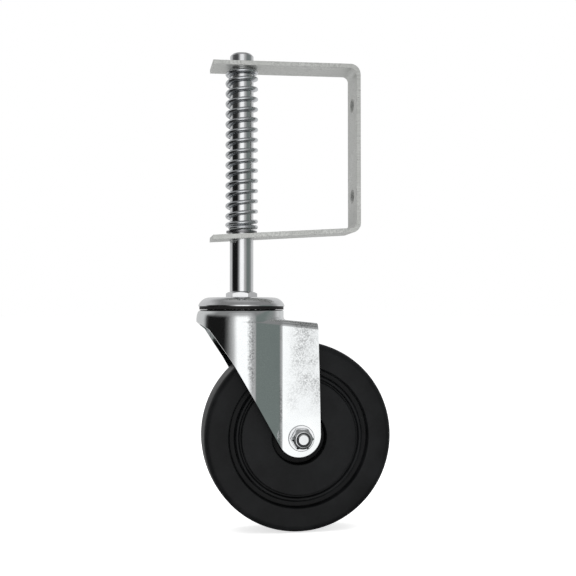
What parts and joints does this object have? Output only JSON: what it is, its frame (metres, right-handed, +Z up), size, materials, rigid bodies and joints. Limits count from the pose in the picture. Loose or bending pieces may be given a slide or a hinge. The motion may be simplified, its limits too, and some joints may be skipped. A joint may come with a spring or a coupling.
{
  "type": "spring-loaded gate wheel",
  "caption": "Sprung swivel gate wheel: a strap bracket guides a rod with a coil spring above a caster fork and a solid black wheel.",
  "frame": {"origin": "on the bracket's back face, midway between its two screw holes", "axes": "+X out of the back face towards the gate, +Y along the wheel's axle towards the bolt head, +Z up along the guide rod"},
  "size_m": [0.1307, 0.062, 0.3215],
  "materials": {
    "dull_zinc": "dull zinc plate",
    "bright_zinc": "bright zinc plate",
    "fork_zinc": "bright zinc on pressed sheet",
    "spring_steel": "zinc plated wire",
    "black_steel": "black phosphate",
    "race_steel": "plain steel",
    "ball_steel": "polished",
    "seal_rubber": "matt black",
    "insert_nylon": "plain",
    "wheel_rubber": "satin black",
    "cage_plastic": "moulded"
  },
  "bodies": {
    "bracket": {"bracket": "dull_zinc", "spring": "spring_steel"},
    "stem": {"guide_rod": "bright_zinc", "spring_clip": "black_steel", "swivel_stem": "bright_zinc", "top_cap": "bright_zinc", "seal_ring": "seal_rubber", "lower_race": "race_steel"},
    "fork": {"fork": "fork_zinc", "axle_bolt": "bright_zinc", "axle_nut": "bright_zinc", "nut_insert": "insert_nylon", "nut_washer": "bright_zinc", "head_washer": "bright_zinc", "axle_sleeve": "race_steel", "near_thrust_washer": "race_steel", "far_thrust_washer": "race_steel"},
    "wheel": {"wheel": "wheel_rubber", "bearing_shell": "race_steel"},
    "upper_ball_row": {"upper_balls": "ball_steel"},
    "lower_ball_row": {"lower_balls": "ball_steel"},
    "roller_set": {"rollers": "ball_steel", "roller_cage": "cage_plastic"}
  },
  "joints": [
    {"name": "stem_slide", "type": "slide", "parent": "bracket", "child": "stem", "axis": [0, 0, 1], "range_m": [0, 0.035], "stiffness_N_per_m": 6100, "springref_m": -0.011, "deforming": ["spring"]},
    {"name": "swivel", "type": "hinge", "parent": "stem", "child": "fork", "pos_m": [-0.08, 0, -0.1103], "axis": [0, 0, 1], "continuous": true},
    {"name": "wheel_spin", "type": "hinge", "parent": "fork", "child": "wheel", "pos_m": [-0.0432, 0, -0.1945], "axis": [0, 1, 0], "continuous": true},
    {"name": "upper_row_roll", "type": "hinge", "parent": "stem", "child": "upper_ball_row", "pos_m": [-0.08, 0, -0.1074], "axis": [0, 0, 1], "continuous": true},
    {"name": "lower_row_roll", "type": "hinge", "parent": "stem", "child": "lower_ball_row", "pos_m": [-0.08, 0, -0.1145], "axis": [0, 0, 1], "continuous": true},
    {"name": "roller_orbit", "type": "hinge", "parent": "fork", "child": "roller_set", "pos_m": [-0.0432, 0, -0.1945], "axis": [0, 1, 0], "continuous": true}
  ],
  "couplings": [
    {"joint": "upper_row_roll", "follows": "swivel", "ratio": 0.5},
    {"joint": "lower_row_roll", "follows": "swivel", "ratio": 0.5},
    {"joint": "roller_orbit", "follows": "wheel_spin", "ratio": 0.622}
  ]
}
